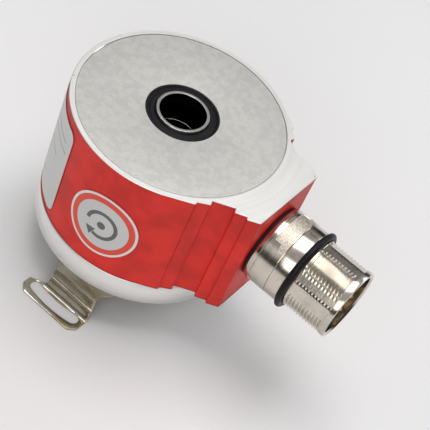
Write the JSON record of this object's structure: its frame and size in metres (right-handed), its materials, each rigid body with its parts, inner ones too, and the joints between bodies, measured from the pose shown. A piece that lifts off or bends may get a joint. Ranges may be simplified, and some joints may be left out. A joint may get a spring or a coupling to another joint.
{
  "type": "rotary encoder",
  "caption": "Round hollow-shaft rotary encoder with a red painted cover, bright flange, side block with threaded round connector, and a sprung stator coupling with slotted tabs.",
  "frame": {"origin": "on the shaft axis in the mounting plane, which the undersides of the two coupling tabs rest on", "axes": "+Z along the shaft towards the closed rear face, away from the machine; +X out of the side connector; the coupling wings lie along Y"},
  "size_m": [0.0905, 0.069, 0.0558],
  "materials": {
    "red_paint": "smooth satin red paint on the side walls, bare machined aluminium on the rear face",
    "bare_aluminium": "fine turned aluminium",
    "grey_foil": "matt pale grey speckled foil on a metal disc",
    "black_rubber": "smooth black rubber",
    "zinc_steel": "zinc plated steel",
    "bearing_steel": "ground bearing steel",
    "brass_cage": "pressed brass",
    "spring_steel": "rolled spring steel",
    "black_plastic": "moulded black plastic",
    "clear_glass": "polished glass",
    "coded_glass": "glass with chromium tracks",
    "chip_black": "moulded chip package",
    "board_green": "green solder mask over glass-fibre laminate",
    "white_plastic": "moulded cream plastic",
    "cable_grey": "grey flat cable",
    "nickel_plate": "nickel plated brass, bright with blasted patches on the collar",
    "gold_plate": "gold plated contacts",
    "label_foil": "matt silver-grey label foil with plain printed bars",
    "sticker_foil": "matt label foil, white rim, orange-red ring and pale grey middle",
    "shaft_steel": "fine turned stainless steel"
  },
  "bodies": {
    "housing": {"housing_cover": "red_paint", "base_flange": "bare_aluminium", "back_disc": "grey_foil", "housing_o_ring": "black_rubber", "housing_screws": "zinc_steel", "rear_shaft_seal": "black_rubber", "front_shaft_seal": "black_rubber", "front_bearing_outer_race": "bearing_steel", "rear_bearing_outer_race": "bearing_steel", "bearing_spacer": "bare_aluminium", "bearing_retaining_ring": "spring_steel", "light_source": "black_plastic", "light_lens": "clear_glass", "scanning_mask": "clear_glass", "sensor_chip": "chip_black", "sensor_board": "board_green", "interface_board": "board_green", "board_posts": "zinc_steel", "board_spacers": "zinc_steel", "board_screws": "zinc_steel", "processor_chip": "chip_black", "board_header": "black_plastic", "cable_socket": "white_plastic", "ribbon_cable": "cable_grey", "stator_coupling": "spring_steel", "coupling_screws": "zinc_steel", "connector_gasket": "black_rubber", "connector_collar": "nickel_plate", "connector_barrel": "nickel_plate", "connector_o_ring": "black_rubber", "connector_insert": "black_plastic", "signal_contacts": "gold_plate", "centre_contact": "gold_plate", "insert_retaining_ring": "spring_steel", "rating_label": "label_foil", "round_sticker": "sticker_foil"},
    "shaft": {"hollow_shaft": "shaft_steel", "front_bearing_inner_race": "bearing_steel", "rear_bearing_inner_race": "bearing_steel", "disc_hub": "bare_aluminium", "code_disc": "coded_glass", "disc_retainer": "bare_aluminium", "clamping_ring": "shaft_steel", "clamp_screw": "zinc_steel"},
    "front_cage": {"front_bearing_balls": "bearing_steel", "front_bearing_cage": "brass_cage"},
    "rear_cage": {"rear_bearing_balls": "bearing_steel", "rear_bearing_cage": "brass_cage"}
  },
  "joints": [
    {"name": "shaft_spin", "type": "hinge", "parent": "housing", "child": "shaft", "pos_m": [0, 0, 0.02], "axis": [0, 0, 1], "continuous": true},
    {"name": "front_cage_spin", "type": "hinge", "parent": "housing", "child": "front_cage", "pos_m": [0, 0, 0.017], "axis": [0, 0, 1], "continuous": true},
    {"name": "rear_cage_spin", "type": "hinge", "parent": "housing", "child": "rear_cage", "pos_m": [0, 0, 0.027], "axis": [0, 0, 1], "continuous": true}
  ],
  "couplings": [
    {"joint": "front_cage_spin", "follows": "shaft_spin", "ratio": 0.43846},
    {"joint": "rear_cage_spin", "follows": "shaft_spin", "ratio": 0.43846}
  ]
}
